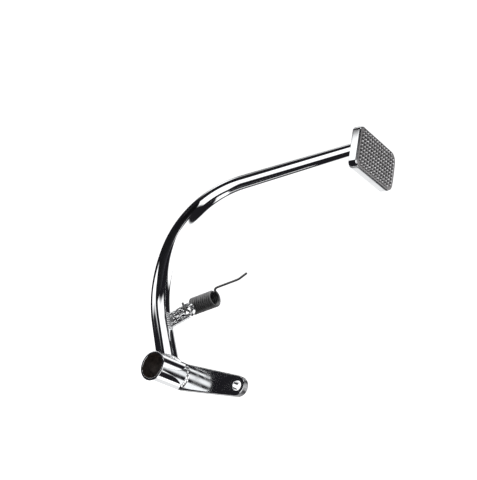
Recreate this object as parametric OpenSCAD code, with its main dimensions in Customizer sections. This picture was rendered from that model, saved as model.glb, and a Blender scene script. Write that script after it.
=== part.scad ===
// Rear brake pedal of a motorcycle: a chromed welded lever with a sprung return.
// The origin is the centre of the pivot bore, half way along it.
// X points forward, Y inboard along the pivot, Z up.

/* [Pivot tube] */
// Outside diameter of the pivot tube
tube_od = 25.4; // [24:0.1:28]
// Bore of the pivot tube
tube_bore = 21.4; // [18:0.1:22]
// Length of the pivot tube
tube_len = 38; // [37:0.5:48]
// Chamfer on both rims of the tube
tube_chamfer = 0.5; // [0.2:0.1:0.8]

/* [Arm] */
// Distance from the tube's inboard rim to the middle of the arm's root
arm_inset = 23; // [20:0.5:25]
// Diameter of the arm where it leaves the tube
arm_root_d = 18.8; // [17:0.1:20]
// Diameter of the arm under the tread
arm_tip_d = 10.2; // [9:0.1:12]
// Angle of the arm's root below the forward direction
arm_droop = 25; // [15:1:30]
// Lean of the bent part of the arm, outboard from upright
arm_lean = 12; // [5:1:20]
// Length of the straight root
root_len = 50; // [45:1:60]
// Radius of the first, easy bend
easy_bend_r = 132; // [100:1:160]
// Angle of the first bend
easy_bend_angle = 32; // [25:0.5:38]
// Radius of the second, tighter bend
tight_bend_r = 82; // [70:1:100]
// Angle of the second bend
tight_bend_angle = 66.5; // [60:0.5:70]
// Length of the straight part up to the tread
tip_len = 122; // [100:1:140]

/* [Tread] */
// Width of the tread, across the machine
tread_w = 62.4; // [56:0.2:70]
// Length of the tread, along the machine
tread_l = 38.8; // [34:0.2:46]
// Depth of the folded skirt, measured from the tread
skirt_depth = 8.6; // [7:0.1:12]
// Thickness of the tread's sheet
sheet_t = 2; // [1.5:0.1:2.5]
// Corner radius at the inboard side
corner_in_r = 5; // [4:0.5:8]
// Corner radius at the outboard side
corner_out_r = 8; // [4:0.5:10]
// Radius of the fold between tread and skirt
fold_r = 1.6; // [1:0.1:2]
// How far the outboard edge of the tread bulges
edge_bulge = 1.2; // [0.4:0.1:2]
// How far the arm meets the tread forward of its middle
tread_shift_x = 9.5; // [4:0.5:11]
// How far the arm meets the tread inboard of its middle
tread_shift_y = 12; // [0:0.5:18]
// Rows of teeth, counted along the machine
tooth_rows = 10; // [8:1:12]
// Distance between teeth in a row
tooth_pitch = 4.1; // [3.6:0.1:5]
// Height of the teeth
tooth_h = 1.4; // [0.8:0.1:2]
// Flat groove between two rows of teeth
tooth_groove = 0.35; // [0.2:0.05:0.6]
// Plain border around the teeth
tooth_border = 1.9; // [1.7:0.1:3]

/* [Lever plate] */
// Distance from the pivot's axis to the brake rod's hole
rod_reach = 67.5; // [60:0.5:80]
// Lean of the lever plate, rearward from upright
lever_lean = 6.5; // [0:0.5:10]
// Thickness of the lever plate
lever_t = 6; // [5:0.1:6.5]
// Width of the lever plate at the tube
lever_root_w = 23.4; // [20:0.1:23.8]
// Width of the lever plate's round end
lever_end_w = 17; // [15:0.1:20]
// Hole for the brake rod's pin
rod_hole_d = 8.3; // [8:0.1:10]
// Distance from the rod's hole to the centre of the round end
rod_hole_setback = 1; // [0:0.1:2]
// Small bevel around the lever plate's faces
plate_bevel = 0.5; // [0.3:0.1:0.8]

/* [Spring lug] */
// Distance from the arm's first bend back to the middle of the lug
lug_back = 3; // [2:0.5:12]
// Distance from the arm's axis to the hole in the lug
lug_reach = 30; // [26:0.5:34]
// Width of the lug
lug_w = 14; // [13:0.1:16]
// Thickness of the lug
lug_t = 3; // [2.5:0.1:3.5]
// Hole in the lug for the spring's hook
lug_hole_d = 7; // [6.4:0.1:7.4]

/* [Return spring] */
// Diameter of the spring's wire
wire_d = 2; // [1.8:0.05:2.2]
// Mean diameter of the coil
coil_d = 13.4; // [11:0.2:14]
// Whole turns of the coil, before its last part turn
coil_turns = 11; // [9:1:14]
// Gap between two turns of the coil
turn_gap = 0.12; // [0.1:0.02:0.3]
// Direction in which the spring lies, forward from upright
spring_lean = 15.6; // [10:0.2:22]
// Straight length of the spring's long leg
leg_len = 23; // [15:0.5:30]
// Length of the bent tip of the leg
leg_tip_len = 9; // [6:0.5:12]
// Angle of the bent tip
leg_tip_angle = 18; // [0:1:30]
// Radius of the bend from the coil into the leg
leg_bend_r = 5; // [4:0.2:6]
// Length of the hook's turned end, past the lug
hook_len = 5; // [4:0.5:7]
// Room around the hook's wire, in the lug's hole and beside the lug
hook_gap = 0.3; // [0.2:0.05:0.5]

/* [Welds] */
// Width of the fillet weld around the arm's root
root_weld = 2.2; // [1.6:0.1:2.4]
// Width of the fillet weld under the tread
tread_weld = 2.2; // [1.5:0.1:3]
// Width of the fillet weld between tube and lever plate
lever_weld_w = 1.8; // [1.2:0.1:2.2]
// Radius of the two beads along the lug's foot
lug_bead_r = 1.7; // [1.2:0.1:2]
// Rise of a weld's face above a straight fillet
weld_crown = 0.35; // [0.1:0.05:0.5]
// Room between the arm's coped root and the tube
cope_gap = 0.05; // [0.04:0.01:0.1]
// Room between a weld, or the lug, and the bar or tube under it
bead_gap = 0.13; // [0.1:0.01:0.2]

/* [Hidden] */
chrome = "silver";
dark = "dimgray";

tube_r = tube_od / 2;
inner_rim_y = tube_len / 2;
outer_rim_y = -tube_len / 2;
arm_y = inner_rim_y - arm_inset;

// Extra length of a cutter past what it cuts
cut = 1;

function unit(v) = v / norm(v);

// The arm's own axes: along the root, square to it in the upright plane, and into the bends
root_dir = [cos(arm_droop), 0, -sin(arm_droop)];
root_up = [sin(arm_droop), 0, cos(arm_droop)];
bend_dir = sin(arm_lean) * [0, -1, 0] + cos(arm_lean) * root_up;
arm_start = [0, arm_y, 0];

// Lengths along the arm's centre line at which its bends begin and end
easy_len = easy_bend_r * easy_bend_angle * PI / 180;
tight_len = tight_bend_r * tight_bend_angle * PI / 180;
easy_end = root_len + easy_len;
tight_end = easy_end + tight_len;
arm_len = tight_end + tip_len;
turned = easy_bend_angle + tight_bend_angle;

// Point and direction of the arm's centre line, given its turn so far
function heading(a) = cos(a) * root_dir + sin(a) * bend_dir;
function arc_step(r, a0, a1) =
    r * ((sin(a1) - sin(a0)) * root_dir + (cos(a0) - cos(a1)) * bend_dir);
easy_start_point = arm_start + root_len * root_dir;
easy_end_point = easy_start_point + arc_step(easy_bend_r, 0, easy_bend_angle);
tight_end_point = easy_end_point + arc_step(tight_bend_r, easy_bend_angle, turned);
function arm_turn(s) =
    s < root_len ? 0 :
    s < easy_end ? easy_bend_angle * (s - root_len) / easy_len :
    s < tight_end ? easy_bend_angle + tight_bend_angle * (s - easy_end) / tight_len :
    turned;
function arm_point(s) =
    s < root_len ? arm_start + s * root_dir :
    s < easy_end ? easy_start_point + arc_step(easy_bend_r, 0, arm_turn(s)) :
    s < tight_end ? easy_end_point + arc_step(tight_bend_r, easy_bend_angle, arm_turn(s)) :
    tight_end_point + (s - tight_end) * heading(turned);
function arm_radius(s) = (arm_root_d + (arm_tip_d - arm_root_d) * s / arm_len) / 2;

// A point on the arm's skin; angle 0 faces the inside of the bends
side_dir = cross(root_dir, bend_dir);
function skin_dir(s, a) =
    cos(a) * (cos(arm_turn(s)) * bend_dir - sin(arm_turn(s)) * root_dir) + sin(a) * side_dir;
function arm_skin(s, a) = arm_point(s) + arm_radius(s) * skin_dir(s, a);

arm_sides = 36;
arm_angles = [for (i = [0 : arm_sides - 1]) i * 360 / arm_sides];

// Where a line along the root's direction, off its axis by p, comes out of the tube and a gap
function tube_exit(p, gap) =
    let (up = p * root_up, r = tube_r + gap)
    p + (sqrt(r * r - up * up) - p * root_dir) * root_dir;
function root_ring(r, gap) =
    [for (a = arm_angles) tube_exit(arm_start + r * skin_dir(0, a), gap)];

// The tread's underside, and where the arm's centre line meets it
tip_point = arm_point(arm_len);
tread_under_z = tip_point[2];
tread_mid = [tip_point[0] - tread_shift_x, tip_point[1] - tread_shift_y,
             tread_under_z + sheet_t];
function to_underside(p, d) = p + d * (tread_under_z - p[2]) / d[2];
function tip_ring(r) =
    [for (a = arm_angles)
        to_underside(tip_point + r * skin_dir(arm_len, a), heading(turned))];

// Facets of a skin through equal rings: the sides, and a cap on each end
function ring_sides(rings, n) =
    [for (k = [0 : rings - 2], i = [0 : n - 1])
        [k * n + i, (k + 1) * n + i, (k + 1) * n + (i + 1) % n, k * n + (i + 1) % n]];
function first_cap(n) = [[for (i = [0 : n - 1]) i]];
function last_cap(rings, n) = [[for (i = [n - 1 : -1 : 0]) (rings - 1) * n + i]];
function flat_points(rings) = [for (ring = rings) each ring];

module skin(rings) {
    n = len(rings[0]);
    polyhedron(flat_points(rings),
               concat(first_cap(n), ring_sides(len(rings), n), last_cap(len(rings), n)));
}

// The same for a closed loop of sections, such as a weld around a tube
module closed_skin(sections) {
    m = len(sections);
    n = len(sections[0]);
    polyhedron(flat_points(sections),
               [for (k = [0 : m - 1], i = [0 : n - 1])
                   [k * n + i, k * n + (i + 1) % n,
                    ((k + 1) % m) * n + (i + 1) % n, ((k + 1) % m) * n + i]]);
}

// Lay a shape drawn in X and Y into the upright plane, its X turned to the direction given
module upright_plate(direction, y_mid, t) {
    side = unit([direction[2], 0, -direction[0]]);
    multmatrix([[direction[0], side[0], 0, 0],
                [0, 0, -1, y_mid + t / 2],
                [direction[2], side[2], 0, 0],
                [0, 0, 0, 1]])
        linear_extrude(t) children();
}

module along_y(y0, y1) {
    translate([0, y0, 0]) rotate([-90, 0, 0]) linear_extrude(y1 - y0) children();
}

// Pivot tube

module pivot_tube() {
    color(chrome)
        rotate([90, 0, 0])
            rotate_extrude($fn = 96)
                polygon([[tube_bore / 2, -inner_rim_y],
                         [tube_r - tube_chamfer, -inner_rim_y],
                         [tube_r, -inner_rim_y + tube_chamfer],
                         [tube_r, inner_rim_y - tube_chamfer],
                         [tube_r - tube_chamfer, inner_rim_y],
                         [tube_bore / 2, inner_rim_y]]);
}

// Pedal arm: one tapered bar, coped to the tube at its root and cut level under the tread

ring_step = 6;
bend_rings = round((tight_end - root_len) / ring_step);
arm_stations = concat([0.5 * root_len, root_len],
                      [for (k = [1 : bend_rings]) root_len + (tight_end - root_len) * k / bend_rings],
                      [for (k = [1 : 3]) tight_end + (tip_len - arm_tip_d) * k / 3]);

module pedal_arm() {
    cope_rings = [for (k = [1 : 6]) root_ring(arm_root_d / 2 * k / 6, cope_gap)];
    body_rings = [for (s = arm_stations) [for (a = arm_angles) arm_skin(s, a)]];
    color(chrome)
        skin(concat(cope_rings, body_rings, [tip_ring(arm_tip_d / 2)]));
}

// Fillet welds around the two ends of the arm

function crown_point(foot, rise, root) =
    let (mid = (foot + rise) / 2) mid + weld_crown * unit(mid - root);

module ring_weld(under, foot, rise) {
    root = under[0];
    closed_skin([for (i = [0 : len(root) - 1])
                    concat([for (ring = under) ring[i]],
                           [foot[i], crown_point(foot[i], rise[i], root[i]), rise[i]])]);
}

module root_weld_bead() {
    root = root_ring(arm_root_d / 2, bead_gap);
    half_way = root_ring((arm_root_d + root_weld) / 2, bead_gap);
    foot = root_ring(arm_root_d / 2 + root_weld, bead_gap);
    rise = [for (p = root) p + root_weld * root_dir];
    color(chrome) ring_weld([root, half_way], foot, rise);
}

module tread_weld_bead() {
    root = tip_ring(arm_tip_d / 2 + bead_gap);
    foot = tip_ring(arm_tip_d / 2 + tread_weld);
    rise = [for (p = root) p - tread_weld * heading(turned)];
    color(chrome) ring_weld([root], rise, foot);
}

// Tread: a pressed sheet with a folded skirt and rows of teeth

corner_steps = 6;

// One corner of the tread's outline, and the outline itself, drawn in by an inset
function corner(cx, cy, r, a0) =
    [for (k = [0 : corner_steps]) let (a = a0 + 90 * k / corner_steps) [cx + r * cos(a), cy + r * sin(a)]];
function bulged(p, half_w, half_l) =
    let (out = max(0, -p[1] / half_w), mid = 1 - pow(p[0] / half_l, 2))
    [p[0], p[1] - edge_bulge * out * out * max(0, mid)];
function tread_outline(inset) =
    let (half_l = tread_l / 2 - inset,
         half_w = tread_w / 2 - inset,
         r_in = max(0.3, corner_in_r - inset),
         r_out = max(0.3, corner_out_r - inset),
         plain = concat(corner(half_l - r_in, half_w - r_in, r_in, 0),
                        corner(-half_l + r_in, half_w - r_in, r_in, 90),
                        corner(-half_l + r_out, -half_w + r_out, r_out, 180),
                        [[-half_l / 3, -half_w], [0, -half_w], [half_l / 3, -half_w]],
                        corner(half_l - r_out, -half_w + r_out, r_out, 270)))
    [for (p = plain) bulged(p, tread_w / 2, tread_l / 2)];
function tread_ring(inset, z) =
    [for (p = tread_outline(inset)) tread_mid + [p[0], p[1], z]];

fold_steps = 4;
function fold_rings(r, inset, z_top) =
    [for (k = [0 : fold_steps])
        let (a = 90 * k / fold_steps)
        tread_ring(inset + r * (1 - cos(a)), z_top - r * (1 - sin(a)))];

module tread_shell() {
    inner_r = max(0.4, fold_r - sheet_t / 2);
    inside = fold_rings(inner_r, sheet_t, -sheet_t);
    outside = fold_rings(fold_r, 0, 0);
    skin(concat([for (k = [fold_steps : -1 : 0]) inside[k]],
                [tread_ring(sheet_t, -skirt_depth), tread_ring(0, -skirt_depth)],
                outside));
}

// Room across the tread for a row of teeth whose outer side lies at x
function row_side(x, r, y_side) =
    let (over = max(0, abs(x) - (tread_l / 2 - tooth_border - max(0.3, r - tooth_border))),
         rr = max(0.3, r - tooth_border))
    y_side - rr + sqrt(max(0, rr * rr - over * over));

tooth_sink = 0.4;
row_pitch = (tread_l - 2 * tooth_border) / tooth_rows;

// A row of n teeth along Y, starting at y0: a bar with a notched edge, its foot sunk in the sheet
module tooth_row(x, y0, n) {
    teeth = [for (i = [0 : n - 1])
                each [[i * tooth_pitch, 0], [(i + 0.5) * tooth_pitch, tooth_h]]];
    bar_w = row_pitch - tooth_groove;
    translate(tread_mid + [x - bar_w / 2, y0, 0])
        rotate([90, 0, 90])
            linear_extrude(bar_w)
                polygon(concat([[0, -tooth_sink]],
                               teeth,
                               [[n * tooth_pitch, 0], [n * tooth_pitch, -tooth_sink]]));
}

module tread_pad() {
    color("gray") {
        tread_shell();
        for (k = [0 : tooth_rows - 1]) {
            x = (k + 0.5 - tooth_rows / 2) * row_pitch;
            reach = abs(x) + row_pitch / 2;
            y_in = row_side(reach, corner_in_r, tread_w / 2 - tooth_border);
            y_out = row_side(reach, corner_out_r, tread_w / 2 - tooth_border);
            n = floor((y_in + y_out) / tooth_pitch);
            tooth_row(x, (y_in - y_out - n * tooth_pitch) / 2, n);
        }
    }
}

// Lever plate for the brake rod, coped around the tube's outboard end

lever_dir = [-sin(lever_lean), 0, cos(lever_lean)];
lever_y = outer_rim_y + lever_t / 2;

// Outline of the lever: straight sides that touch the root circle and the round end
module lever_outline(inset) {
    r0 = lever_root_w / 2 - inset;
    r1 = lever_end_w / 2 - inset;
    far = rod_reach - rod_hole_setback;
    slope = asin((r0 - r1) / far);
    polygon([[r0 * sin(slope), r0 * cos(slope)],
             [far + r1 * sin(slope), r1 * cos(slope)],
             [far + r1 * sin(slope), -r1 * cos(slope)],
             [r0 * sin(slope), -r0 * cos(slope)]]);
    translate([far, 0]) circle(r1, $fn = 64);
}

module lever_plate() {
    color(chrome)
        difference() {
            union() {
                upright_plate(lever_dir, lever_y, lever_t - 2 * plate_bevel) lever_outline(0);
                upright_plate(lever_dir, lever_y, lever_t) lever_outline(plate_bevel);
            }
            along_y(outer_rim_y - cut, inner_rim_y) circle(tube_r, $fn = 96);
            translate(rod_reach * lever_dir)
                along_y(outer_rim_y - cut, inner_rim_y) circle(rod_hole_d / 2, $fn = 48);
        }
}

// The fillet follows the tube from one side of the plate to the other
lever_weld_half = asin((lever_root_w / 2 - plate_bevel) / (tube_r + lever_weld_w)) - 2;

module lever_weld_bead() {
    face_y = outer_rim_y + lever_t;
    color(chrome)
        translate([0, face_y, 0])
            rotate([0, -90 - lever_lean, 0])
                rotate([90, 0, 0])
                    rotate([0, 0, -lever_weld_half])
                        mirror([0, 0, 1])
                            rotate_extrude(angle = 2 * lever_weld_half, $fn = 96)
                                polygon([[tube_r, 0],
                                         [tube_r + lever_weld_w, 0],
                                         [tube_r + (lever_weld_w + weld_crown) / 2,
                                          (lever_weld_w + weld_crown) / 2],
                                         [tube_r, lever_weld_w]]);
}

// Spring lug: a flat tab on top of the arm's root, in the plane of the root

lug_along = root_len - lug_back;
lug_base = arm_start + lug_along * root_dir;
lug_hole = lug_base + lug_reach * root_up;

// The straight root as a plain cone, for coping what stands on it
module root_cone() {
    far = lug_along + lug_w;
    translate(arm_start)
        rotate([0, 90 + arm_droop, 0])
            cylinder(h = far, r1 = arm_radius(0) + bead_gap, r2 = arm_radius(far) + bead_gap, $fn = 96);
}

module spring_lug() {
    color(chrome)
        difference() {
            translate(lug_base)
                upright_plate(root_up, 0, lug_t)
                    difference() {
                        union() {
                            translate([0, -lug_w / 2]) square([lug_reach, lug_w]);
                            translate([lug_reach, 0]) circle(lug_w / 2, $fn = 64);
                        }
                        translate([lug_reach, 0]) circle(lug_hole_d / 2, $fn = 48);
                    }
            root_cone();
        }
}

module lug_weld_beads() {
    foot = arm_radius(lug_along);
    half = lug_w / 2;
    color(chrome)
        for (side = [-1, 1])
            difference() {
                translate(lug_base + [0, side * lug_t / 2, 0] + (foot - 0.2 * lug_bead_r) * root_up)
                    rotate([0, 90 + arm_droop, 0]) {
                        cylinder(h = 2 * half, r = lug_bead_r, center = true, $fn = 32);
                        for (end = [-half, half])
                            translate([0, 0, end]) sphere(lug_bead_r, $fn = 32);
                    }
                root_cone();
                translate(lug_base)
                    upright_plate(root_up, 0, lug_t)
                        translate([0, -lug_w]) square([lug_reach, 2 * lug_w]);
            }
}

// Return spring: a hook through the lug, a close coil behind it, and one long leg

wire_r = wire_d / 2;
coil_r = coil_d / 2;
turn_pitch = wire_d + turn_gap;
spring_dir = [sin(spring_lean), 0, cos(spring_lean)];
spring_up = [cos(spring_lean), 0, -sin(spring_lean)];

// The hook's wire rests against the hole's edge, at this angle below the coil's own side
hook_seat = lug_hole_d / 2 - wire_r - hook_gap;
hook_seat_angle = 57;
hook_point = lug_hole
             + hook_seat * (cos(hook_seat_angle) * spring_up - sin(hook_seat_angle) * spring_dir);
coil_y = arm_y - lug_t / 2 - hook_gap - wire_r - coil_r;
front_y = arm_y + lug_t / 2 + hook_gap + wire_r;
coil_start = [hook_point[0], coil_y, hook_point[2]] + coil_r * spring_up;

// The coil starts under its axis, square to the lug, and ends on top, turned in by this much
coil_end_turn = 165;
coil_angle = 360 * coil_turns + coil_end_turn;
function coil_out(a) = -cos(a) * spring_up - sin(a) * [0, 1, 0];
function coil_along(a) = sin(a) * spring_up - cos(a) * [0, 1, 0];
function coil_point(a) = coil_start + coil_r * coil_out(a) + turn_pitch * a / 360 * spring_dir;

turn_steps = 20;
coil_count = round(coil_angle * turn_steps / 360);
coil_path = [for (k = [0 : coil_count]) coil_point(coil_angle * k / coil_count)];

// Hook: the turned end in front of the lug, then its bend, then through the hole
hook_bend_r = 1.6;
hook_angle = 17.5;
hook_dir = cos(hook_angle) * spring_up - sin(hook_angle) * spring_dir;
hook_corner = [hook_point[0], front_y - hook_bend_r, hook_point[2]] + hook_bend_r * hook_dir;
function hook_bend_point(a) =
    hook_corner + hook_bend_r * (cos(a) * [0, 1, 0] - sin(a) * hook_dir);
hook_path = concat([hook_bend_point(0) + hook_len * hook_dir],
                   [for (a = [0 : 22.5 : 90]) hook_bend_point(a)]);

// Leg: a quarter bend out of the coil's last turn, the straight leg, and its bent tip
leg_start = coil_point(coil_angle);
leg_side = coil_along(coil_angle);
function leg_bend_point(a) =
    leg_start + leg_bend_r * (sin(a) * leg_side + (1 - cos(a)) * spring_dir);
leg_foot = leg_bend_point(90);
leg_knee = leg_foot + leg_len * spring_dir;
tip_dir = cos(leg_tip_angle) * spring_dir + sin(leg_tip_angle) * spring_up;
leg_path = concat([for (a = [18 : 18 : 90]) leg_bend_point(a)],
                  [leg_knee, leg_knee + leg_tip_len * tip_dir]);

spring_path = concat(hook_path, coil_path, leg_path);

// Round sections square to a path, each turned as little as can be from the last
wire_sides = 8;
last_i = len(spring_path) - 1;
function path_dir(i) =
    i == 0 ? unit(spring_path[1] - spring_path[0]) :
    i == last_i ? unit(spring_path[last_i] - spring_path[last_i - 1]) :
    unit(unit(spring_path[i + 1] - spring_path[i]) + unit(spring_path[i] - spring_path[i - 1]));
function square_to(v, d) = unit(v - (v * d) * d);
function carried(i, v) =
    i > last_i ? [] :
    let (w = square_to(v, path_dir(i))) concat([w], carried(i + 1, w));
function section(p, d, v) =
    let (w = cross(d, v))
    [for (k = [0 : wire_sides - 1])
        let (a = (k + 0.5) * 360 / wire_sides) p + wire_r * (cos(a) * v + sin(a) * w)];

module return_spring() {
    sides = carried(0, unit([0.3, 1, 0.2]));
    color(dark)
        skin([for (i = [0 : last_i]) section(spring_path[i], path_dir(i), sides[i])]);
}

pivot_tube();
pedal_arm();
lever_plate();
tread_pad();
spring_lug();
return_spring();
root_weld_bead();
tread_weld_bead();
lever_weld_bead();
lug_weld_beads();
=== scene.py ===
"""Looks of a rear brake pedal: a chromed weldment with a serrated tread and a black spring.

Shapes are worked out in millimetres; the finishes, floor, lights and camera are in metres. The
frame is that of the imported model: its origin is the middle of the pivot's bore, X points
forward, Y inboard and Z up.
"""
import math

import bmesh
import bpy
import numpy as np
from mathutils import Matrix, Vector


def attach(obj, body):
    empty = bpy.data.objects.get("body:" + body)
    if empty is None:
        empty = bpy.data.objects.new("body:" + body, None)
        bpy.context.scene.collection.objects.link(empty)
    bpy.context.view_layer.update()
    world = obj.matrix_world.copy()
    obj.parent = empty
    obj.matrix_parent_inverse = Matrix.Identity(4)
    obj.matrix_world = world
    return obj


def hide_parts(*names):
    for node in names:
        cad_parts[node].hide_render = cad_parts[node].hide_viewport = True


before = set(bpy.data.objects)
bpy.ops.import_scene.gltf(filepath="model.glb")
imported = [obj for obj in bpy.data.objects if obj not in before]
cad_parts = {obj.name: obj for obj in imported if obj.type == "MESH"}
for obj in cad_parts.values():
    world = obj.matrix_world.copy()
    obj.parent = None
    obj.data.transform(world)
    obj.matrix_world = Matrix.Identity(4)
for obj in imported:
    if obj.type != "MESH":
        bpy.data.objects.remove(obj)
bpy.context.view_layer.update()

MM = 0.001
Y = np.array([0.0, 1.0, 0.0])

# Sizes of the pivot tube, as in the part's source
TUBE_R = 12.7
BORE_R = 10.7
TUBE_HALF = 19.0
RIM_ROUND = 0.5
BORE_ROUND = 0.25

# Sizes of the arm, and how far its ends reach into the tube and the tread
ARM_Y = -4.0
ROOT_D = 18.8
TIP_D = 10.2
DROOP = math.radians(25)
LEAN = math.radians(12)
ROOT_LEN = 50.0
EASY_R = 132.0
EASY_TURN = math.radians(32)
TIGHT_R = 82.0
TIGHT_TURN = math.radians(66.5)
TIP_LEN = 122.0
ROOT_SINK = 0.6
TIP_SINK = 0.4

# Sizes of the tread
TREAD_W = 62.4
TREAD_L = 38.8
SKIRT = 8.6
SHEET = 2.0
CORNER_IN = 5.0
CORNER_OUT = 8.0
LEAST_CORNER = 0.3
FOLD_R = 1.6
SKIRT_ROUND = 0.6
BULGE = 1.2
SHIFT_X = 9.5
SHIFT_Y = 12.0

# Sizes of its teeth; the shares shape a tooth's flanks and its worn tip
ROWS = 10
TOOTH_PITCH = 4.1
TOOTH_H = 1.4
GROOVE = 0.35
BORDER = 1.9
TOOTH_SINK = 0.4
FLANK_SHARE = 1.12
WORN_FROM = 0.8
WORN_SHARE = 0.1

# Sizes of the plate for the brake rod
ROD_REACH = 67.5
LEVER_LEAN = math.radians(6.5)
LEVER_T = 6.0
LEVER_ROOT = 23.4
LEVER_END = 17.0
LEVER_BEVEL = 0.6
LEVER_SINK = 0.4
ROD_HOLE = 8.3
HOLE_SETBACK = 1.0
HOLE_ROUND = 0.35

# Sizes of the spring's lug
LUG_ALONG = 47.0
LUG_REACH = 30.0
LUG_W = 14.0
LUG_T = 3.0
LUG_BEVEL = 0.4
LUG_SINK = 0.6
LUG_HOLE = 7.0

# Sizes of the return spring; its coil is cut part way through its last turn
WIRE_R = 1.0
WIRE_END_ROUND = 0.25
COIL_R = 6.7
TURNS = 11 + 165 / 360
TURN_PITCH = 2.12
SPRING_LEAN = math.radians(15.6)
LEG_LEN = 23.0
LEG_TIP = 9.0
LEG_TIP_TURN = math.radians(18)
LEG_BEND = 5.0
KNEE_ROUND = 2.0
HOOK_LEN = 5.0
HOOK_GAP = 0.3
HOOK_BEND = 1.6

# Sizes of the welds: how deep their hidden edges lie, and how their ripple swells
ROOT_WELD = 2.2
TREAD_WELD = 2.2
LEVER_WELD = 1.8
LUG_BEAD = 1.7
CORE_SINK = 0.3
TOE_SINK = 0.15
FACE_SINK = 0.1
TIP_FACE_SINK = 0.05
CROWN = 0.35
CROWN_PLAIN = 0.35
CROWN_RIPPLE = 0.9
RIPPLE_BOW = 8.8
ROOT_RIPPLES = 34
TREAD_RIPPLES = 22
LEVER_RIPPLES = 26
LUG_RIPPLES = 27

# How finely the surfaces are laid out
TUBE_SIDES = 160
ARM_SIDES = 96
ARM_RINGS = 300
WIRE_SIDES = 14
COIL_STEPS = 40
TOOTH_STEPS = 10
ROUND_STEPS = 5
FOLD_STEPS = 8
FACE_RINGS = 8
BEAD_ROWS = 9


# Shapes


def unit(v):
    """The vectors in the last axis, at length one."""
    v = np.asarray(v, float)
    return v / np.linalg.norm(v, axis=-1, keepdims=True)


def full_turn(points):
    """Angles spread evenly round a circle."""
    return np.linspace(0, 2 * math.pi, points, endpoint=False)


def quarter(steps):
    """Sine and cosine of angles from zero to a quarter turn."""
    a = np.linspace(0, math.pi / 2, steps + 1)
    return np.sin(a), np.cos(a)


def grid_faces(rows, cols, close_rows):
    """Quads of a grid whose columns run round; point (i, j) is number i * cols + j."""
    last = rows if close_rows else rows - 1
    i, j = np.meshgrid(np.arange(last), np.arange(cols), indexing="ij")
    k = (i + 1) % rows
    n = (j + 1) % cols
    return np.stack([i * cols + j, i * cols + n, k * cols + n, k * cols + j], -1).reshape(-1, 4)


def piece(name, skins, nodes, body, materials, crease, second=None):
    """A mesh from skins, each a grid of points whose columns run round and a word on its rows:
    "loop" joins the last row to the first, and "ends" closes each end on its own middle. Edges
    turned by more than the crease stay sharp, and second tells from their middles which faces
    take the second material."""
    points, faces, count = [], [], 0
    for grid, rows_word in skins:
        grid = np.asarray(grid, float)
        if rows_word == "ends":
            first = np.repeat(grid[:1].mean(1, keepdims=True), grid.shape[1], 1)
            last = np.repeat(grid[-1:].mean(1, keepdims=True), grid.shape[1], 1)
            grid = np.concatenate([first, grid, last])
        faces.append(grid_faces(grid.shape[0], grid.shape[1], rows_word == "loop") + count)
        points.append(grid.reshape(-1, 3))
        count += len(points[-1])
    mesh = bpy.data.meshes.new(name)
    mesh.from_pydata((np.concatenate(points) * MM).tolist(), [], np.concatenate(faces).tolist())
    work = bmesh.new()
    work.from_mesh(mesh)
    bmesh.ops.remove_doubles(work, verts=work.verts, dist=2e-7)
    bmesh.ops.recalc_face_normals(work, faces=work.faces)
    work.to_mesh(mesh)
    work.free()
    mesh.polygons.foreach_set("use_smooth", np.ones(len(mesh.polygons), bool))
    mesh.set_sharp_from_angle(angle=math.radians(crease))
    for material in materials:
        mesh.materials.append(material)
    if second is not None:
        centres = np.zeros(len(mesh.polygons) * 3)
        mesh.polygons.foreach_get("center", centres)
        chosen = second(centres.reshape(-1, 3) / MM)
        mesh.polygons.foreach_set("material_index", chosen.astype(np.int32))
    made = bpy.data.objects.new(name, mesh)
    bpy.context.scene.collection.objects.link(made)
    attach(made, body)
    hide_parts(*nodes)
    return made


# Pivot tube


def tube_grid():
    """A rounded rectangle, wall by length, turned round the Y axis."""
    s, c = quarter(ROUND_STEPS)
    r_out, r_in, h, q, p = TUBE_R, BORE_R, TUBE_HALF, RIM_ROUND, BORE_ROUND
    outer = np.stack([r_out - q + q * c, h - q + q * s], -1)
    inner = np.stack([r_in + p - p * s, h - p + p * c], -1)
    top = np.concatenate([outer, inner])
    plain = h - 2 * q
    side = np.stack([np.full(24, r_in), np.linspace(plain, -plain, 24)], -1)
    low = top[::-1] * [1, -1]
    out = np.stack([np.full(40, r_out), np.linspace(-plain, plain, 40)], -1)
    profile = np.concatenate([top, side, low, out])
    a = full_turn(TUBE_SIDES)
    r, y = profile[:, :1], profile[:, 1:]
    return np.stack([r * np.cos(a), y + 0 * a, r * np.sin(a)], -1)


# Arm


ROOT_DIR = np.array([math.cos(DROOP), 0, -math.sin(DROOP)])
ROOT_UP = np.array([math.sin(DROOP), 0, math.cos(DROOP)])
BEND_DIR = -math.sin(LEAN) * Y + math.cos(LEAN) * ROOT_UP
SIDE_DIR = np.cross(ROOT_DIR, BEND_DIR)
EASY_LEN = EASY_R * EASY_TURN
TIGHT_LEN = TIGHT_R * TIGHT_TURN
EASY_END = ROOT_LEN + EASY_LEN
TIGHT_END = EASY_END + TIGHT_LEN
ARM_LEN = TIGHT_END + TIP_LEN
FULL_TURN = EASY_TURN + TIGHT_TURN


def heading(turn):
    """Direction of the arm after it has turned so far in its own plane."""
    turn = np.asarray(turn)[..., None]
    return np.cos(turn) * ROOT_DIR + np.sin(turn) * BEND_DIR


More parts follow.
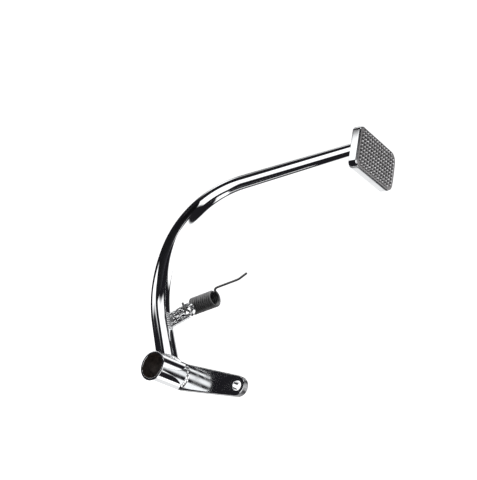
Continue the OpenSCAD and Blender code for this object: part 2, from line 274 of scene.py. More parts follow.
def arm_line(s):
    """Points, directions and inward directions of the line: straight, arc, arc, straight."""
    s = np.asarray(s, float)
    t1 = np.clip(s - ROOT_LEN, 0, EASY_LEN) / EASY_R
    t2 = t1 + np.clip(s - EASY_END, 0, TIGHT_LEN) / TIGHT_R
    ahead = (np.clip(s, None, ROOT_LEN) + EASY_R * np.sin(t1)
             + TIGHT_R * (np.sin(t2) - np.sin(t1)))
    up = EASY_R * (1 - np.cos(t1)) + TIGHT_R * (np.cos(t1) - np.cos(t2))
    tail = np.clip(s - TIGHT_END, 0, None)[..., None] * heading(t2)
    point = ARM_Y * Y + ahead[..., None] * ROOT_DIR + up[..., None] * BEND_DIR + tail
    return point, heading(t2), heading(t2 + math.pi / 2)


def arm_radius(s):
    """The arm narrows evenly from root to tip."""
    return (ROOT_D + (TIP_D - ROOT_D) * s / ARM_LEN) / 2


def arm_skin(s, a, r):
    """A point of the skin at radius r, angle a measured from the inside of the bends."""
    point, _, inward = arm_line(s)
    out = np.cos(a)[..., None] * inward + np.sin(a)[..., None] * SIDE_DIR
    return point + r[..., None] * out


TIP_POINT = arm_line(ARM_LEN)[0]
TREAD_MID = TIP_POINT + [-SHIFT_X, -SHIFT_Y, SHEET]
TIP_DIR = heading(FULL_TURN)


def root_exit(r, a):
    """Length along the root at which a line at radius r and angle a comes out of the tube."""
    up = r * (np.cos(a) * (BEND_DIR @ ROOT_UP) + np.sin(a) * (SIDE_DIR @ ROOT_UP))
    return np.sqrt(TUBE_R ** 2 - up ** 2)


def tip_exit(r, a):
    """Length along the tip at which a line at radius r and angle a meets the tread."""
    rise = r * (np.cos(a) * heading(FULL_TURN + math.pi / 2)[2] + np.sin(a) * SIDE_DIR[2])
    return ARM_LEN - rise / TIP_DIR[2]


def arm_grid():
    """Rings along the centre line, skewed over a twelfth of it at each end to meet the tube
    and the tread, and closed inside both."""
    a = full_turn(ARM_SIDES)
    root_r, tip_r = arm_radius(0), arm_radius(ARM_LEN)
    first, last = root_exit(root_r, a) - ROOT_SINK, tip_exit(tip_r, a) + TIP_SINK
    t = np.linspace(0, 1, ARM_RINGS)[:, None]
    s = first.mean() + (last.mean() - first.mean()) * t
    s = s + (first - first.mean()) * np.clip(1 - 12 * t, 0, 1)
    s = s + (last - last.mean()) * np.clip(12 * t - 11, 0, 1)
    body = arm_skin(s, a + 0 * s, arm_radius(s))
    share = np.linspace(0, 1, 6)[:-1, None]
    foot_s = root_exit(root_r * share, a) - ROOT_SINK
    foot = arm_skin(foot_s, a + 0 * foot_s, root_r * share + 0 * foot_s)
    head_s = tip_exit(tip_r * share[::-1], a) + TIP_SINK
    head = arm_skin(head_s, a + 0 * head_s, tip_r * share[::-1] + 0 * head_s)
    return np.concatenate([foot, body, head])


# Tread


def corner(cx, cy, r, start):
    """Quarter of a circle."""
    a = np.radians(start + np.linspace(0, 90, 15))
    return np.stack([cx + r * np.cos(a), cy + r * np.sin(a)], -1)


def tread_outline(inset):
    """Rounded rectangle drawn in by an inset, its outboard side bulging a little."""
    hl, hw = TREAD_L / 2 - inset, TREAD_W / 2 - inset
    ri, ro = max(LEAST_CORNER, CORNER_IN - inset), max(LEAST_CORNER, CORNER_OUT - inset)
    t = np.linspace(-1, 1, 19)[1:-1, None]
    front = np.concatenate([np.full_like(t, hl), t * (hw - ri)], 1)
    out_side = np.concatenate([t * (hl - ro), np.full_like(t, -hw)], 1)
    p = np.concatenate([front, corner(hl - ri, hw - ri, ri, 0), corner(ri - hl, hw - ri, ri, 90),
                        -front, corner(ro - hl, ro - hw, ro, 180), out_side,
                        corner(hl - ro, ro - hw, ro, 270)])
    out = np.clip(-p[:, 1] / (TREAD_W / 2), 0, None)
    mid = np.clip(1 - (p[:, 0] / (TREAD_L / 2)) ** 2, 0, None)
    p[:, 1] -= BULGE * out ** 2 * mid
    return p


def tread_ring(inset, z):
    """The outline at an inset and a height, in place."""
    p = tread_outline(inset)
    return TREAD_MID + np.concatenate([p, np.full((len(p), 1), z)], 1)


def shell_grid():
    """Rings over the top, down the outside of the fold and skirt, round its rim, up the inside
    and in under the sheet."""
    s, c = quarter(FOLD_STEPS)
    bend = range(FOLD_STEPS + 1)
    inner_r, q = FOLD_R - SHEET / 2, SKIRT_ROUND
    edge = tread_ring(FOLD_R, 0)
    top = [TREAD_MID + (edge - TREAD_MID) * k for k in np.linspace(0, 1, FACE_RINGS)[:-1]]
    outer = [tread_ring(FOLD_R * (1 - s[i]), -FOLD_R * (1 - c[i])) for i in bend]
    wall = [tread_ring(0, -z) for z in np.linspace(FOLD_R, SKIRT - q, 6)[1:]]
    rim = [tread_ring(q * (1 - c[i]), -SKIRT + q * (1 - s[i])) for i in bend[1:]]
    rim += [tread_ring(SHEET - q * (1 - s[i]), -SKIRT + q * (1 - c[i])) for i in bend]
    back = [tread_ring(SHEET, -z) for z in np.linspace(SKIRT - q, SHEET + inner_r, 5)[1:-1]]
    fold = [tread_ring(SHEET + inner_r * (1 - c[i]), -SHEET - inner_r * (1 - s[i]))
            for i in bend]
    under = fold[-1]
    centre = TREAD_MID - [0, 0, SHEET]
    closing = [centre + (under - centre) * k for k in np.linspace(1, 0, FACE_RINGS)[1:]]
    return np.stack(top + outer + wall + rim + back + fold + closing)


def row_reach(x, r):
    """Room along Y on one side for a row of teeth at x, within a corner of radius r."""
    rr = max(LEAST_CORNER, r - BORDER)
    over = max(0.0, abs(x) - (TREAD_L / 2 - BORDER - rr))
    return TREAD_W / 2 - BORDER - rr + math.sqrt(max(0.0, rr * rr - over * over))


ROW_PITCH = (TREAD_L - 2 * BORDER) / ROWS


def row_grid(k):
    """A bar whose top edge rises and falls: a ring of its section at each step along Y."""
    x = (k + 0.5 - ROWS / 2) * ROW_PITCH
    reach = abs(x) + ROW_PITCH / 2
    y_in, y_out = row_reach(reach, CORNER_IN), row_reach(reach, CORNER_OUT)
    n = int((y_in + y_out) / TOOTH_PITCH)
    start = (y_in - y_out - n * TOOTH_PITCH) / 2
    v = np.linspace(0, n, TOOTH_STEPS * n + 1)[:, None]
    wave = 1 - np.abs(2 * (v % 1) - 1)
    worn = 1 - WORN_SHARE * np.clip(wave - WORN_FROM, 0, 1)
    height = TOOTH_H * np.minimum(1, FLANK_SHARE * wave) * worn
    half = (ROW_PITCH - GROOVE) / 2
    # The section: steep sides, a round top, and a foot sunk in the sheet
    sx = np.array([-1, -1, -0.86, -0.5, 0, 0.5, 0.86, 1, 1])
    sz = np.array([0, 0.02, 0.55, 0.93, 1, 0.93, 0.55, 0.02, 0])
    sunk = np.array([1, 0, 0, 0, 0, 0, 0, 0, 1])
    gx = x + half * sx + 0 * v
    gz = height * sz - TOOTH_SINK * sunk
    gy = start + TOOTH_PITCH * v + 0 * sx
    return TREAD_MID + np.stack([gx, gy, gz], -1)


# Flat plates: the lever and the spring's lug


def plate_loop(inset, half_root, half_end, far, foot):
    """Outline of a tapered plate with a round end, as (along, across): one side, the end, the
    other side, and back across its foot, which lies at foot(across)."""
    r0, r1 = half_root - inset, half_end - inset
    slope = math.asin((r0 - r1) / far)
    out = np.array([math.sin(slope), math.cos(slope)])
    down = np.array([math.cos(slope), -math.sin(slope)])
    start, run = foot(r0), far * math.cos(slope)
    t = np.linspace(0, 1, 40)[:, None]
    side = r0 * out + (start + (run - start) * t) * down
    a = np.linspace(math.pi / 2 - slope, slope - math.pi / 2, 56)[1:-1]
    end = np.stack([far + r1 * np.cos(a), r1 * np.sin(a)], -1)
    across = np.linspace(-side[0, 1], side[0, 1], 30)[1:-1]
    back = np.stack([foot(across), across], -1)
    return np.concatenate([side, end, side[::-1] * [1, -1], back])


def plate_grid(half_root, half_end, far, hole_u, hole_r, t, bevel, foot):
    """Rings from the hole's wall over the face, round the edge and back under the other face."""
    s, c = quarter(ROUND_STEPS)
    bend = range(ROUND_STEPS + 1)
    rim = plate_loop(0, half_root, half_end, far, foot)
    angle = np.arctan2(rim[:, 1], rim[:, 0] - hole_u)

    def loop(inset):
        return plate_loop(inset, half_root, half_end, far, foot)

    def hole(r):
        return np.stack([hole_u + r * np.cos(angle), r * np.sin(angle)], -1)

    def at(p, z):
        return np.concatenate([p, np.full((len(p), 1), z)], 1)

    h, b, q = t / 2, bevel, HOLE_ROUND
    face_in, face_out = hole(hole_r + q), loop(b)
    rows = [at(hole(hole_r), z) for z in np.linspace(0, h - q, 4)]
    rows += [at(hole(hole_r + q * (1 - c[i])), h - q * (1 - s[i])) for i in bend[1:]]
    rows += [at(face_in + (face_out - face_in) * k, h) for k in np.linspace(0, 1, 9)[1:-1]]
    rows += [at(loop(b * (1 - s[i])), h - b * (1 - c[i])) for i in bend]
    rows += [at(rim, z) for z in np.linspace(h - b, 0, 4)[1:]]
    top = np.stack(rows)
    low = top[::-1][1:-1] * [1, 1, -1]
    return np.concatenate([top, low])


def stood(grid, direction, y_mid):
    """A plate's grid stood in the upright plane, its length along the direction."""
    side = unit([direction[2], 0, -direction[0]])
    return grid[..., :1] * direction + grid[..., 1:2] * side + (y_mid + grid[..., 2:]) * Y


LEVER_DIR = np.array([-math.sin(LEVER_LEAN), 0, math.cos(LEVER_LEAN)])
LEVER_Y = -TUBE_HALF + LEVER_T / 2


def lever_grid():
    """The plate for the brake rod, its foot cut to the tube's round."""
    buried = TUBE_R - LEVER_SINK
    grid = plate_grid(LEVER_ROOT / 2, LEVER_END / 2, ROD_REACH - HOLE_SETBACK, ROD_REACH,
                      ROD_HOLE / 2, LEVER_T, LEVER_BEVEL,
                      lambda across: np.sqrt(buried ** 2 - across ** 2))
    return stood(grid, LEVER_DIR, LEVER_Y)


def lug_grid():
    """The spring's tab, its foot sunk a little in the arm."""
    foot = arm_radius(LUG_ALONG) - LUG_SINK
    grid = plate_grid(LUG_W / 2, LUG_W / 2, LUG_REACH, LUG_REACH, LUG_HOLE / 2, LUG_T,
                      LUG_BEVEL, lambda across: foot + 0 * across)
    return stood(grid, ROOT_UP, ARM_Y) + LUG_ALONG * ROOT_DIR


# Welds


def ripples(a, v, count):
    """Height of a weld's scales: round-topped waves along it, curved back across its width."""
    return np.abs(np.cos(0.5 * (count * a + RIPPLE_BOW * (v - 0.5) ** 2)))


def crown(a, v, count):
    """How far a bead's face swells: half a wave across it, higher on its scales."""
    return CROWN * (CROWN_PLAIN + CROWN_RIPPLE * ripples(a, v, count)) * np.sin(math.pi * v)


def ring_weld_grid(core, toe, top, count):
    """A fillet round a bar: from its toe to its top over a scaled crown, and back by its core."""
    v = np.linspace(0, 1, BEAD_ROWS)[:, None, None]
    a = full_turn(len(core))[None, :, None]
    out = unit((toe + top) / 2 - core)
    face = toe + (top - toe) * v + crown(a, v, count) * out
    return np.concatenate([core[None], face])


def root_weld_grid():
    """Around the arm's root, on the tube."""
    a = full_turn(300)
    r = arm_radius(0) + 0 * a
    wide = r + ROOT_WELD
    core = arm_skin(root_exit(r, a) - CORE_SINK, a, r - CORE_SINK)
    toe = arm_skin(root_exit(wide, a) - TOE_SINK, a, wide)
    top = arm_skin(root_exit(r, a) + ROOT_WELD, a, r - FACE_SINK)
    return ring_weld_grid(core, toe, top, ROOT_RIPPLES)


def tread_weld_grid():
    """Around the arm's tip, under the tread."""
    a = full_turn(240)
    r = arm_radius(ARM_LEN) + 0 * a
    wide = r + TREAD_WELD
    core = arm_skin(tip_exit(r, a) + CORE_SINK, a, r - CORE_SINK)
    toe = arm_skin(tip_exit(wide, a) + TOE_SINK, a, wide)
    top = arm_skin(tip_exit(r, a) - TREAD_WELD, a, r - TIP_FACE_SINK)
    return ring_weld_grid(core, toe, top, TREAD_RIPPLES)


def lever_weld_grid():
    """Along the tube where it meets the plate's inboard face: a section swept round Y, which
    thins towards both ends."""
    half = math.asin((LEVER_ROOT / 2 - 0.5) / (TUBE_R + LEVER_WELD)) - math.radians(2)
    a = np.linspace(-half, half, 200)[:, None]
    v = np.linspace(0, 1, BEAD_ROWS)
    taper = np.clip((half - np.abs(a)) / 0.12, 0, 1) ** 0.5
    swell = crown(a, v, LEVER_RIPPLES) * taper * 0.7
    w = LEVER_WELD * (0.3 + 0.7 * taper)
    plate_face = LEVER_Y + LEVER_T / 2
    r = TUBE_R - FACE_SINK + w * (1 - v) + swell
    y = plate_face - FACE_SINK + w * v + swell
    r = np.concatenate([r, np.full_like(a, TUBE_R - CORE_SINK)], 1)[..., None]
    y = np.concatenate([y, np.full_like(a, plate_face - CORE_SINK)], 1)[..., None]
    side = unit([LEVER_DIR[2], 0, -LEVER_DIR[0]])
    cos_a, sin_a = np.cos(a)[..., None], np.sin(a)[..., None]
    return r * (cos_a * LEVER_DIR + sin_a * side) + y * Y


def lug_weld_grid(side):
    """A bead along one side of the lug's foot: a scaled half-round, thinning at its ends."""
    u = np.linspace(-1, 1, 140)[:, None]
    a = full_turn(28)
    past = LUG_BEAD * 0.8
    length = LUG_W / 2 + past
    beyond = (np.abs(u) * length - LUG_W / 2).clip(0)
    end = np.sqrt(np.clip(1 - beyond ** 2 / past ** 2, 0.0004, 1))
    r = LUG_BEAD * end * (0.86 + 0.16 * ripples(u, 0.5 + 0 * a, LUG_RIPPLES))
    centre = (ARM_Y + side * LUG_T / 2) * Y + LUG_ALONG * ROOT_DIR
    centre = centre + (arm_radius(LUG_ALONG) - 0.2 * LUG_BEAD) * ROOT_UP
    along = (u * length)[..., None] * ROOT_DIR
    return centre + along + r[..., None] * (np.cos(a)[:, None] * Y + np.sin(a)[:, None] * ROOT_UP)


# Return spring


SPRING_DIR = np.array([math.sin(SPRING_LEAN), 0, math.cos(SPRING_LEAN)])
SPRING_UP = np.array([math.cos(SPRING_LEAN), 0, -math.sin(SPRING_LEAN)])
LUG_CENTRE = ARM_Y * Y + LUG_ALONG * ROOT_DIR + LUG_REACH * ROOT_UP
HOOK_SEAT = LUG_HOLE / 2 - WIRE_R - HOOK_GAP
HOOK_POINT = LUG_CENTRE + HOOK_SEAT * unit(0.55 * SPRING_UP - 0.84 * SPRING_DIR)
HOOK_DIR = unit(0.95 * SPRING_UP - 0.3 * SPRING_DIR)
COIL_Y = ARM_Y - LUG_T / 2 - HOOK_GAP - WIRE_R - COIL_R
FRONT_Y = ARM_Y + LUG_T / 2 + HOOK_GAP + WIRE_R


def spring_line():
    """The wire's centre line: hook, through the lug, a close coil, a bend and the long leg."""
    seat = HOOK_POINT * [1, 0, 1]
    heart = seat + (FRONT_Y - HOOK_BEND) * Y + HOOK_BEND * HOOK_DIR
    b = np.linspace(0, math.pi / 2, 9)[:, None]
    bend = heart + HOOK_BEND * (np.cos(b) * Y - np.sin(b) * HOOK_DIR)
    stub = bend[:1] + np.linspace(HOOK_LEN, 0.5, 6)[:, None] * HOOK_DIR
    turn = np.linspace(0, 2 * math.pi * TURNS, int(TURNS * COIL_STEPS))[:, None]
    axis = seat + COIL_Y * Y + COIL_R * SPRING_UP
    coil = (axis + COIL_R * (-np.cos(turn) * SPRING_UP - np.sin(turn) * Y)
            + TURN_PITCH * turn / (2 * math.pi) * SPRING_DIR)
    through = bend[-1] + np.linspace(0.12, 0.88, 6)[:, None] * (coil[0] - bend[-1])
    ahead = np.sin(turn[-1]) * SPRING_UP - np.cos(turn[-1]) * Y
    b = np.linspace(0, math.pi / 2, 11)[1:, None]
    leg = coil[-1] + LEG_BEND * (np.sin(b) * ahead + (1 - np.cos(b)) * SPRING_DIR)
    plain = np.linspace(0, LEG_LEN - KNEE_ROUND, 14)[1:, None]
    straight = leg[-1] + plain * SPRING_DIR
    tip_dir = math.cos(LEG_TIP_TURN) * SPRING_DIR + math.sin(LEG_TIP_TURN) * SPRING_UP
    knee = leg[-1] + LEG_LEN * SPRING_DIR
    k = np.linspace(0, 1, 7)[1:, None]
    soft = ((1 - k) ** 2 * straight[-1] + 2 * k * (1 - k) * knee
            + k ** 2 * (knee + KNEE_ROUND * tip_dir))
    tip = knee + np.linspace(KNEE_ROUND + 1, LEG_TIP, 5)[:, None] * tip_dir
    return np.concatenate([stub, bend, through, coil, leg, straight, soft, tip])


def wire_grid(line, r, sides):
    """A round wire along a line: each ring's first direction is carried on from the last one,
    and one smaller ring past each end rounds the cut."""
    along = unit(np.gradient(line, axis=0))
    across = np.zeros_like(line)
    across[0] = unit(np.cross(along[0], [0.31, 0.52, 0.79]))
    for i in range(1, len(line)):
        kept = across[i - 1] - (across[i - 1] @ along[i]) * along[i]
        across[i] = kept / np.linalg.norm(kept)
    other = np.cross(along, across)
    a = full_turn(sides)[:, None]
    grid = line[:, None] + r * (np.cos(a) * across[:, None] + np.sin(a) * other[:, None])
    cut = WIRE_END_ROUND
    first = line[:1, None] + (grid[:1] - line[:1, None]) * (1 - cut) - cut * r * along[:1, None]
    last = line[-1:, None] + (grid[-1:] - line[-1:, None]) * (1 - cut) + cut * r * along[-1:, None]
    return np.concatenate([first, grid, last])


# Finishes


PLATING = (0.80, 0.81, 0.82)


class Finish:
    """A material on Object coordinates, and short ways to build it."""

    def __init__(self, name, metallic):
        self.material = bpy.data.materials.new(name)
        self.material.use_nodes = True
        self.tree = self.material.node_tree
        self.shader = self.tree.nodes["Principled BSDF"]
        self.shader.inputs["Metallic"].default_value = metallic
        self.place = self.node("ShaderNodeTexCoord").outputs["Object"]

    def node(self, kind, **inputs):
        """A node with its sockets set; an output given for a socket is joined to it."""
        made = self.tree.nodes.new(kind)
        for key, value in inputs.items():
            socket = made.inputs[key.replace("_", " ")]
            if isinstance(value, bpy.types.NodeSocket):
                self.tree.links.new(value, socket)
            else:
                socket.default_value = value
        return made

    def noise(self, scale, detail, roughness, vector=None):
        """Cloudy noise, of so many cells a metre."""
        return self.node("ShaderNodeTexNoise", Scale=scale, Detail=detail, Roughness=roughness,
                         Vector=vector or self.place).outputs["Fac"]

    def spread(self, value, low, high, to_low, to_high):
        """A number taken from one range to another, held at its ends."""
        return self.node("ShaderNodeMapRange", From_Min=low, From_Max=high, To_Min=to_low,
                         To_Max=to_high, Value=value).outputs["Result"]

    def gloss(self, value, low, high, to_low, to_high):
        """The roughness follows a number."""
        rough = self.spread(value, low, high, to_low, to_high)
        self.tree.links.new(rough, self.shader.inputs["Roughness"])

    def colour(self, value, low, first, high, last):
        """The colour goes from first to last as a number goes from low to high."""
        ramp = self.node("ShaderNodeValToRGB", Fac=value)
        ends = ramp.color_ramp.elements
        ends[0].position, ends[0].color = low, (*first, 1)
        ends[1].position, ends[1].color = high, (*last, 1)
        self.tree.links.new(ramp.outputs["Color"], self.shader.inputs["Base Color"])

    def relief(self, *layers):
        """Bumps laid one over another, each from a number, a height in metres and a strength."""
        under = {}
        for value, height, strength in layers:
            bump = self.node("ShaderNodeBump", Strength=strength, Distance=height, Height=value,
                             **under)
            under = {"Normal": bump.outputs["Normal"]}
        self.tree.links.new(under["Normal"], self.shader.inputs["Normal"])


def chrome(name, smooth, smeared, wave, grain):
    """Plated steel: wavy under the plating, with smears and fine pits in the gloss."""
    made = Finish(name, 1.0)
    made.shader.inputs["Base Color"].default_value = (*PLATING, 1)
    made.gloss(made.noise(90.0, 5.0, 0.6), 0.42, 0.7, smooth, smeared)
    made.relief((made.noise(55.0, 1.5, 0.4), wave, 1.0),
                (made.noise(900.0, 3.0, 0.55), grain, 1.0))
    return made.material


def pitted(name):
    """Plated over scale and spatter: dents and pits a few millimetres wide, and a thin gloss."""
    made = Finish(name, 1.0)
    dents = made.noise(230.0, 1.5, 0.5)
    pits = made.node("ShaderNodeTexVoronoi", Scale=620.0, Vector=made.place).outputs["Distance"]
    made.colour(pits, 0.1, (0.25, 0.245, 0.24), 0.4, PLATING)
    made.gloss(dents, 0.3, 0.7, 0.22, 0.08)
    made.relief((dents, 0.00028, 1.0), (pits, 0.00008, 1.0))
    return made.material


def cut_edge(name):
    """Plated over a sheared edge: dull, with fine drag lines through the plate's thickness."""
    made = Finish(name, 1.0)
    drawn = made.node("ShaderNodeMapping", Scale=(900.0, 60.0, 900.0), Vector=made.place)
    drag = made.noise(1.0, 4.0, 0.6, drawn.outputs["Vector"])
    made.colour(drag, 0.35, (0.18, 0.18, 0.185), 0.7, (0.42, 0.42, 0.43))
    made.gloss(drag, 0.3, 0.75, 0.30, 0.48)
    made.relief((drag, 0.00003, 0.7))
    return made.material


def gripping(name):
    """Plating on the teeth: glossier on their worn tips and duller in the grooves between. Its
    colour darkens by height down into the grooves, which is painted shade, with random grime over
    it.
    """
    made = Finish(name, 1.0)
    grime = made.noise(430.0, 4.0, 0.7)
    height = made.node("ShaderNodeSeparateXYZ", Vector=made.place).outputs["Z"]
    sheet_top = TREAD_MID[2] * MM
    # Painted shade: this share darkens the colour with depth, from the teeth's tips down into the
    # grooves.
    worn = made.spread(height, sheet_top + 0.0002, sheet_top + TOOTH_H * MM, 0.0, 1.0)
    total = made.node("ShaderNodeMath")
    total.use_clamp = True
    made.tree.links.new(worn, total.inputs[0])
    made.tree.links.new(made.spread(grime, 0.35, 0.65, -0.55, 0.15), total.inputs[1])
    groove_shade_and_grime = total.outputs["Value"]
    # Colour from dark in the grooves to lighter on the tips: painted shade by height, mixed with
    # random grime.
    made.colour(groove_shade_and_grime, 0.08, (0.20, 0.193, 0.195), 0.85, (0.64, 0.64, 0.65))
    made.gloss(groove_shade_and_grime, 0.1, 0.9, 0.42, 0.16)
    made.relief((grime, 0.00004, 0.8))
    return made.material


def bare_bore(name):
    """Unplated bore: brown oxide with darker blotches and faint turning marks."""
    made = Finish(name, 0.25)
    blotch = made.noise(240.0, 6.0, 0.6)
    made.colour(blotch, 0.35, (0.012, 0.008, 0.006), 0.72, (0.085, 0.055, 0.04))
    made.gloss(blotch, 0.3, 0.7, 0.75, 0.5)
    marks = made.node("ShaderNodeTexWave", Scale=700.0, Distortion=1.5, Detail=2.0,
                      Vector=made.place)
    marks.bands_direction = "Y"
    made.relief((marks.outputs["Fac"], 0.00004, 0.5))
    return made.material


def black_wire(name):
    """Oil-blackened spring wire: near black, half gloss, with drawn lines and worn spots."""
    made = Finish(name, 0.0)
    worn = made.noise(420.0, 5.0, 0.65)
    made.colour(worn, 0.5, (0.045, 0.045, 0.046), 0.85, (0.11, 0.108, 0.105))
    made.gloss(worn, 0.3, 0.75, 0.28, 0.42)
    made.relief((made.noise(2600.0, 2.0, 0.5), 0.00002, 0.6))
    return made.material


BRIGHT = chrome("chrome_bright", smooth=0.02, smeared=0.07, wave=0.00005, grain=0.000002)
HAZY = chrome("chrome_by_welds", smooth=0.05, smeared=0.17, wave=0.00009, grain=0.000005)
ROLLED = chrome("chrome_on_plate", smooth=0.08, smeared=0.19, wave=0.00006, grain=0.000004)
BEAD = chrome("chrome_over_weld", smooth=0.06, smeared=0.16, wave=0.00008, grain=0.00001)
PRESSED = chrome("chrome_pressed", smooth=0.05, smeared=0.14, wave=0.00006, grain=0.000006)
PITTED = pitted("chrome_on_scale")
CUT = cut_edge("chrome_on_cut_edge")
GRIP = gripping("chrome_on_teeth")
BORE = bare_bore("bore_unplated")
WIRE = black_wire("spring_wire_black")


# Pieces


def in_bore(centres):
    """Faces of the bore, a little in from its rims."""
    r = np.hypot(centres[:, 0], centres[:, 2])
    return (r < BORE_R + 0.05) & (np.abs(centres[:, 1]) < TUBE_HALF - 0.2)


def on_edge(centres):
    """Faces of the rod plate's outer edge, between its two roundings."""
    hole = ROD_REACH * LEVER_DIR
    away = np.hypot(centres[:, 0] - hole[0], centres[:, 2] - hole[2])
    return (np.abs(centres[:, 1] - LEVER_Y) < LEVER_T / 2 - 0.3) & (away > ROD_HOLE / 2 + 0.4)


def on_tread(centres):
    """Faces of the tread's top, teeth and all, inside its fold."""
    return centres[:, 2] > TREAD_MID[2] - 0.3


piece("chromed_pivot_tube", [(tube_grid(), "loop")], ["pivot_tube"], "pedal",
      [HAZY, BORE], crease=50, second=in_bore)
piece("chromed_arm", [(arm_grid(), "ends")], ["pedal_arm"], "pedal", [BRIGHT],
      crease=60)
piece("rod_plate", [(lever_grid(), "loop")], ["lever_plate"], "pedal", [ROLLED, CUT],
      crease=60, second=on_edge)
piece("serrated_tread", [(shell_grid(), "ends")] + [(row_grid(k), "ends") for k in range(ROWS)],
      ["tread_pad"], "pedal", [PRESSED, GRIP], crease=30, second=on_tread)
piece("spring_tab", [(lug_grid(), "loop")], ["spring_lug"], "pedal", [PITTED],
      crease=60)
piece("coil_spring", [(wire_grid(spring_line(), WIRE_R, WIRE_SIDES), "ends")],
      ["return_spring"], "spring", [WIRE], crease=60)
piece("arm_root_weld", [(root_weld_grid(), "loop")], ["root_weld_bead"], "pedal",
      [BEAD], crease=70)
piece("tread_weld", [(tread_weld_grid(), "loop")], ["tread_weld_bead"], "pedal",
      [BEAD], crease=70)
piece("plate_weld", [(lever_weld_grid(), "ends")], ["lever_weld_bead"], "pedal",
      [BEAD], crease=70)
piece("tab_welds", [(lug_weld_grid(side), "ends") for side in (-1, 1)], ["lug_weld_beads"],
      "pedal", [BEAD], crease=70)


# Floor, light and camera


def flat_sheet(name, corners, material_name, colour):
    """One dull quad that isn't part of the pedal, and its shader."""
    mesh = bpy.data.meshes.new(name)
    mesh.from_pydata(corners, [], [(0, 1, 2, 3)])
    material = bpy.data.materials.new(material_name)
    material.use_nodes = True
    shader = material.node_tree.nodes["Principled BSDF"]
    shader.inputs["Base Color"].default_value = (*colour, 1)
    shader.inputs["Roughness"].default_value = 1.0
    mesh.materials.append(material)
    sheet = bpy.data.objects.new(name, mesh)
    bpy.context.scene.collection.objects.link(sheet)
    return sheet, shader


def pale_floor(z, size):
    """A plain pale floor that glows evenly and isn't mirrored."""
    c = size / 2
    floor, shader = flat_sheet("floor", [(-c, -c, z), (c, -c, z), (c, c, z), (-c, c, z)],
                               "floor_white", (0.9, 0.9, 0.9))
    shader.inputs["Emission Color"].default_value = (1, 1, 1, 1)
    shader.inputs["Emission Strength"].default_value = 1.0
    floor.visible_glossy = False


def square_to(facing, across):
    """A facing at length one, and the part of across that lies square to it, at length one."""
    facing = unit(facing)
    return facing, unit(np.asarray(across) - (np.asarray(across) @ facing) * facing)


def dark_card(centre, facing, across, half_w, half_h):
    """A black card beside the pedal, out of sight: it keeps the bend's plating dark."""
    facing, across = square_to(facing, across)
    up = np.cross(facing, across)
    corners = [np.array(centre) + i * half_w * across + j * half_h * up
               for i, j in ((-1, -1), (1, -1), (1, 1), (-1, 1))]
    card, shader = flat_sheet("dark_card", [tuple(c) for c in corners], "card_black",
                              (0.015, 0.015, 0.017))
    shader.inputs["Specular IOR Level"].default_value = 0.0
    card.visible_camera = card.visible_diffuse = card.visible_shadow = False


def studio(panels, dim, dull):
    """The room that the plating mirrors: flat soft-edged panels in front of a dim ground. A ray
    meets a panel where its shares across and up, over its share along the line to the panel,
    stay under the tangents of the panel's half angles. What is dull is lit evenly and weakly."""
    world = bpy.data.worlds.new("studio")
    bpy.context.scene.world = world
    world.use_nodes = True
    tree = world.node_tree
    tree.nodes.clear()
    place = tree.nodes.new("ShaderNodeTexCoord")
    grazing = 0.02

    def math_node(kind, first, second):
        node = tree.nodes.new("ShaderNodeMath")
        node.operation = kind
        for i, value in enumerate((first, second)):
            if isinstance(value, (int, float)):
                node.inputs[i].default_value = value
            else:
                tree.links.new(value, node.inputs[i])
        return node.outputs["Value"]

    def share(direction):
        node = tree.nodes.new("ShaderNodeVectorMath")
        node.operation = "DOT_PRODUCT"
        node.inputs[1].default_value = direction
        tree.links.new(place.outputs["Generated"], node.inputs[0])
        return node.outputs["Value"]

    def edge(value, none, full):
        node = tree.nodes.new("ShaderNodeMapRange")
        node.interpolation_type = "SMOOTHSTEP"
        node.inputs["From Min"].default_value = none
        node.inputs["From Max"].default_value = full
        tree.links.new(value, node.inputs["Value"])
        return node.outputs["Result"]

    total = 0.0
    for toward, across, half_w, half_h, feather, strength in panels:
        toward, across = square_to(toward, across)
        ahead = share(toward)
        depth = math_node("MAXIMUM", ahead, grazing)
        lit = edge(ahead, grazing, 5 * grazing)
        for axis, half in ((across, half_w), (np.cross(toward, across), half_h)):
            ratio = math_node("DIVIDE", math_node("ABSOLUTE", share(axis), 0.0), depth)
            lit = math_node("MULTIPLY", lit, edge(ratio, math.tan(math.radians(half + feather)),
                                                  math.tan(math.radians(half - feather))))
        total = math_node("MAXIMUM", math_node("MULTIPLY", lit, strength), total)
    ray = tree.nodes.new("ShaderNodeLightPath").outputs
    total = math_node("MULTIPLY", total, math_node("SUBTRACT", 1.0, ray["Is Diffuse Ray"]))
    total = math_node("ADD", total, math_node("MULTIPLY", ray["Is Diffuse Ray"], dull))
    total = math_node("MAXIMUM", total, ray["Is Camera Ray"])
    room = tree.nodes.new("ShaderNodeVectorMath")
    room.inputs[1].default_value = dim
    tree.links.new(total, room.inputs[0])
    background = tree.nodes.new("ShaderNodeBackground")
    tree.links.new(room.outputs["Vector"], background.inputs["Color"])
    out = tree.nodes.new("ShaderNodeOutputWorld")
    tree.links.new(background.outputs["Background"], out.inputs["Surface"])


def soft_light(name, place, aim, width, height, power, mirrored):
    """A soft rectangular lamp, seen in the plating or only lighting what is dull."""
    lamp = bpy.data.lights.new(name, "AREA")
    lamp.shape = "RECTANGLE"
    lamp.size, lamp.size_y = width, height
    lamp.energy = power
    made = bpy.data.objects.new(name, lamp)
    made.location = place
    made.rotation_mode = "QUATERNION"
    made.rotation_quaternion = (Vector(aim) - Vector(place)).to_track_quat("-Z", "Y")
    made.visible_camera = False
    made.visible_glossy = mirrored
    bpy.context.scene.collection.objects.link(made)


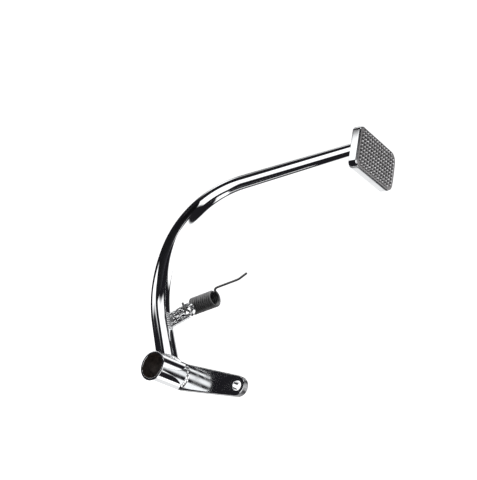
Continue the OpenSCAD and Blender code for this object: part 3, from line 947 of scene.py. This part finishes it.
def first_camera(place, right, up, back, lens):
    """A camera at a place, turned by its right, up and back directions in the frame."""
    data = bpy.data.cameras.new("camera")
    data.sensor_width = 36.0
    data.lens = lens
    data.clip_start, data.clip_end = 0.01, 50.0
    camera = bpy.data.objects.new("camera", data)
    turned = Matrix([[right[i], up[i], back[i]] for i in range(3)]).to_4x4()
    camera.matrix_world = Matrix.Translation(place) @ turned
    bpy.context.scene.collection.objects.link(camera)
    bpy.context.scene.camera = camera


# Each panel: the line to its middle, a line across it, half its width and height and the
# softness of its edges in degrees, and its brightness. Left, right, above and behind are as the
# first camera sees them.
PANELS = [
    # Broad window at the right
    ((0.08, -0.569, 0.818), (0.076, -0.815, -0.574), 68, 25, 3, 1.5),
    # Strip above, for the white middle of the arm's root
    ((0.751, 0.545, 0.373), (0.189, -0.719, 0.669), 30, 6, 2.5, 1.5),
    # Broad window above and behind
    ((0.949, -0.267, -0.166), (-0.164, -0.872, 0.462), 28, 17, 4, 1.3),
    # Slanted strip beside the camera, for the white band along the arm's tip
    ((-0.326, 0.926, 0.191), (-0.729, -0.375, 0.572), 37, 18, 2.5, 1.5),
    # Broad strip below
    ((-0.881, -0.39, 0.269), (0.294, -0.895, -0.335), 26, 8, 2.5, 1.5),
    # Strip at the left, for the skirt's inboard side
    ((0.352, 0.608, -0.712), (0.301, 0.647, 0.701), 22, 4.2, 2, 1.5),
    # Window behind, for the skirt's rear side
    ((-0.104, -0.811, -0.576), (0.363, -0.57, 0.737), 27, 21, 5, 1.1),
    # Small panel for the sheen of the spring's wire
    ((0.765, 0.072, -0.641), (-0.138, -0.952, -0.272), 12, 4.5, 4, 2),
    # Panel over the camera, for the tube's mirror image in the plate
    ((0.206, 0.75, 0.628), (-0.855, -0.173, 0.488), 12, 8, 6, 1.4),
    # Panel behind, for the tube's upper side
    ((0.624, -0.765, -0.159), (-0.695, -0.45, -0.561), 14, 7, 5, 1.4),
]

pale_floor(z=-0.16, size=12.0)
studio(PANELS, dim=(0.014, 0.0135, 0.0165), dull=0.03)
dark_card(centre=(0.1284, 0.0314, -0.024), facing=(0.606, 0.757, -0.245),
          across=(0.555, -0.182, 0.812), half_w=0.0374, half_h=0.0338)
soft_light("spring_light", place=(0.150, 0.015, 0.040), aim=(0.074, -0.006, 0.036),
           width=0.02, height=0.02, power=0.37, mirrored=False)
soft_light("low_card", place=(-0.165, -0.2, -0.07), aim=(-0.165, 0, -0.07),
           width=0.17, height=0.27, power=0.14, mirrored=True)
first_camera(place=(-0.1579, 0.5879, 0.5546), right=(0.1671, -0.5941, 0.7869),
             up=(0.9277, 0.3649, 0.0784), back=(-0.3337, 0.7169, 0.6121), lens=72.0)
bpy.context.scene.view_settings.view_transform = "Standard"
